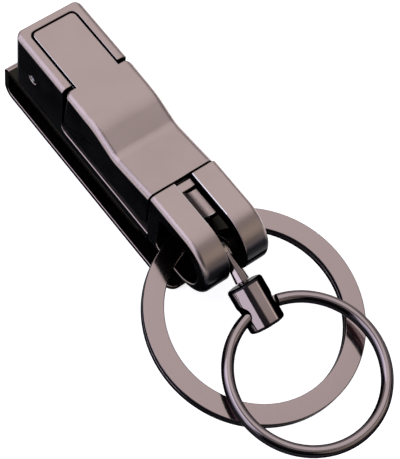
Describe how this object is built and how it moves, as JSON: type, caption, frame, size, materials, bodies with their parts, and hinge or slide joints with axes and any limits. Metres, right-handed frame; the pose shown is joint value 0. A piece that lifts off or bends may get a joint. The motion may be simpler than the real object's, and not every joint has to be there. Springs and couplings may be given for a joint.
{
  "type": "detachable keychain",
  "caption": "Belt-clip keychain: spring-loaded press lever, pull-off fork, large flat split ring, swivel barrel and small split ring.",
  "frame": {"origin": "middle of the belt clip's flat back face at its leaf, under the body", "axes": "+Z out of the front face, +Y along the length towards the clip's bend, +X across the width"},
  "size_m": [0.0351, 0.0848, 0.0195],
  "materials": {
    "satin_case": "satin gunmetal plating on cast zinc",
    "dark_steel": "dark satin plating",
    "spring_steel": "bright wire",
    "black_nickel": "polished black nickel"
  },
  "bodies": {
    "holder": {"housing": "satin_case", "belt_clip": "dark_steel", "clip_rivet_upper": "dark_steel", "clip_rivet_lower": "dark_steel", "lever_pin": "dark_steel", "lever_spring": "spring_steel"},
    "lever_body": {"lever": "satin_case"},
    "fork_body": {"fork": "satin_case"},
    "large_ring_body": {"large_ring": "black_nickel"},
    "eye_body": {"swivel_eye": "black_nickel"},
    "barrel_body": {"swivel_barrel": "black_nickel"},
    "small_ring_body": {"small_ring": "black_nickel"}
  },
  "joints": [
    {"name": "lever_press", "type": "hinge", "parent": "holder", "child": "lever_body", "pos_m": [0, 0.0149, 0.0131], "axis": [1, 0, 0], "range_deg": [0, 2.6], "stiffness_Nm_per_rad": 0.8, "springref_deg": -2.86, "deforming": ["lever_spring"]},
    {"name": "fork_slide", "type": "slide", "parent": "holder", "child": "fork_body", "axis": [0, -1, 0], "range_m": [0, 0.013]},
    {"name": "large_ring_swing", "type": "hinge", "parent": "fork_body", "child": "large_ring_body", "pos_m": [0, -0.02093, 0.01059], "axis": [-1, 0, 0], "range_deg": [-5, 20]},
    {"name": "swivel_swing", "type": "hinge", "parent": "large_ring_body", "child": "eye_body", "pos_m": [0, -0.02093, 0.01059], "axis": [-1, 0, 0], "range_deg": [0, 8]},
    {"name": "barrel_spin", "type": "hinge", "parent": "eye_body", "child": "barrel_body", "pos_m": [-0.00018, -0.0325, 0.01165], "axis": [0, -0.8988, -0.4384], "range_deg": [-6, 0.8]},
    {"name": "small_ring_swing", "type": "hinge", "parent": "barrel_body", "child": "small_ring_body", "pos_m": [-0.00018, -0.03676, 0.0101], "axis": [-1, 0, 0], "range_deg": [0, 70]}
  ]
}
